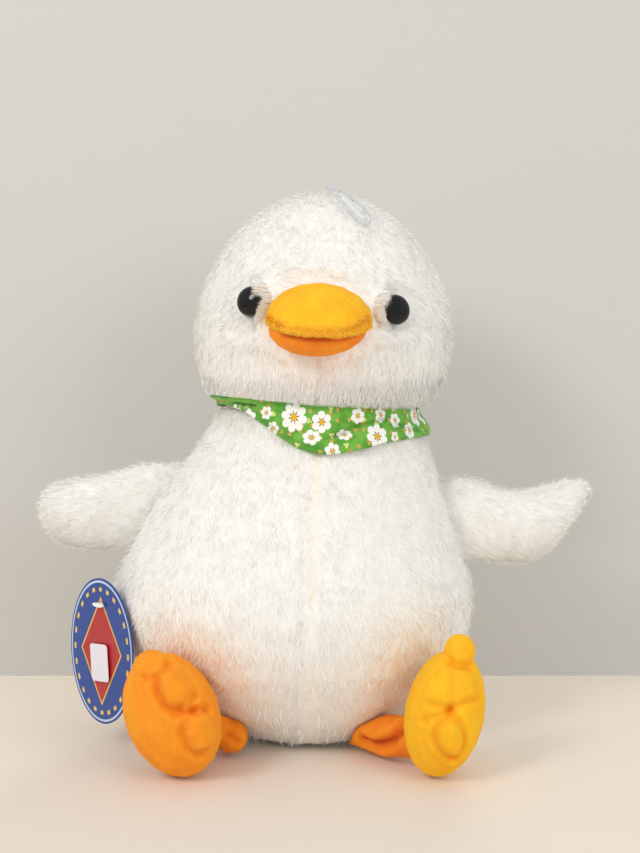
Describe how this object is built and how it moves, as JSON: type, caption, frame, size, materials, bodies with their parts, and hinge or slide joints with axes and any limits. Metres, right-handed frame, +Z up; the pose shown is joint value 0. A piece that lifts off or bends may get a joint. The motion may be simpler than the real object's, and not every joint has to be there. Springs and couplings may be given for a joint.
{
  "type": "plush duck",
  "caption": "Seated plush duck with a round head, soft beak, stub wings, stuffed feet, a daisy neckerchief, a hang loop and a card hang tag.",
  "frame": {"origin": "centre of the flat patch of the body that the duck sits on", "axes": "+Z up through the head, -Y the way the duck faces, +X towards its left wing"},
  "size_m": [0.3063, 0.2014, 0.3031],
  "materials": {
    "white_plush": "long soft pile",
    "polyester_stuffing": "loose fibre",
    "golden_velour": "short pile",
    "orange_velour": "short pile",
    "black_eye": "glossy",
    "white_washer": "satin",
    "green_cotton": "printed weave",
    "clear_plastic": "clear",
    "blue_card": "coated card",
    "sticker_paper": "paper",
    "label_satin": "satin weave"
  },
  "bodies": {
    "body": {"body_skin": "white_plush", "body_filling": "polyester_stuffing", "tail": "white_plush", "neckerchief": "green_cotton", "neckerchief_knot": "green_cotton", "care_label": "label_satin", "tag_fastener": "clear_plastic"},
    "neck": {"neck_filling": "polyester_stuffing"},
    "head": {"head_skin": "white_plush", "head_filling": "polyester_stuffing", "left_eye": "black_eye", "right_eye": "black_eye", "left_eye_washer": "white_washer", "right_eye_washer": "white_washer", "upper_beak": "golden_velour", "lower_beak": "orange_velour", "hang_loop": "clear_plastic"},
    "left_wing": {"left_wing_skin": "white_plush", "left_wing_filling": "polyester_stuffing"},
    "left_leg": {"left_leg_skin": "orange_velour", "left_leg_filling": "polyester_stuffing"},
    "left_foot": {"left_foot_skin": "golden_velour", "left_foot_filling": "polyester_stuffing"},
    "right_wing": {"right_wing_skin": "white_plush", "right_wing_filling": "polyester_stuffing"},
    "right_leg": {"right_leg_skin": "orange_velour", "right_leg_filling": "polyester_stuffing"},
    "right_foot": {"right_foot_skin": "orange_velour", "right_foot_filling": "polyester_stuffing"},
    "tag": {"hang_tag": "blue_card", "price_sticker": "sticker_paper"}
  },
  "joints": [
    {"name": "head_nod", "type": "hinge", "parent": "body", "child": "neck", "pos_m": [0.005, 0, 0.18], "axis": [1, 0, 0], "range_deg": [-5, 5], "stiffness_Nm_per_rad": 0.6},
    {"name": "head_turn", "type": "hinge", "parent": "neck", "child": "head", "pos_m": [0.005, 0, 0.18], "axis": [0, 0, 1], "range_deg": [-25, 25], "stiffness_Nm_per_rad": 0.2},
    {"name": "left_wing_swing", "type": "hinge", "parent": "body", "child": "left_wing", "pos_m": [0.07885, -0.008, 0.1222], "axis": [-0.3843, 0, 0.9232], "range_deg": [-30, 30], "stiffness_Nm_per_rad": 0.05},
    {"name": "left_leg_spread", "type": "hinge", "parent": "body", "child": "left_leg", "pos_m": [0.02101, -0.03698, 0.0112], "axis": [0, 0, 1], "range_deg": [-15, 8], "stiffness_Nm_per_rad": 0.05},
    {"name": "left_foot_twist", "type": "hinge", "parent": "left_leg", "child": "left_foot", "pos_m": [0.06246, -0.07757, 0.01808], "axis": [0.7094, -0.6949, 0.1178], "range_deg": [-10, 10], "stiffness_Nm_per_rad": 0.05},
    {"name": "right_wing_swing", "type": "hinge", "parent": "body", "child": "right_wing", "pos_m": [-0.08442, -0.008, 0.1322], "axis": [0.6101, 0, 0.7923], "range_deg": [-30, 30], "stiffness_Nm_per_rad": 0.05},
    {"name": "right_leg_spread", "type": "hinge", "parent": "body", "child": "right_leg", "pos_m": [-0.02903, -0.03698, 0.0112], "axis": [0, 0, 1], "range_deg": [-8, 15], "stiffness_Nm_per_rad": 0.05},
    {"name": "right_foot_twist", "type": "hinge", "parent": "right_leg", "child": "right_foot", "pos_m": [-0.063, -0.07709, 0.018], "axis": [-0.6409, -0.7568, 0.1283], "range_deg": [-10, 10], "stiffness_Nm_per_rad": 0.05},
    {"name": "tag_swing", "type": "hinge", "parent": "body", "child": "tag", "pos_m": [-0.11105, -0.03885, 0.078], "axis": [-0.6428, -0.766, 0], "range_deg": [-45, 3]}
  ]
}
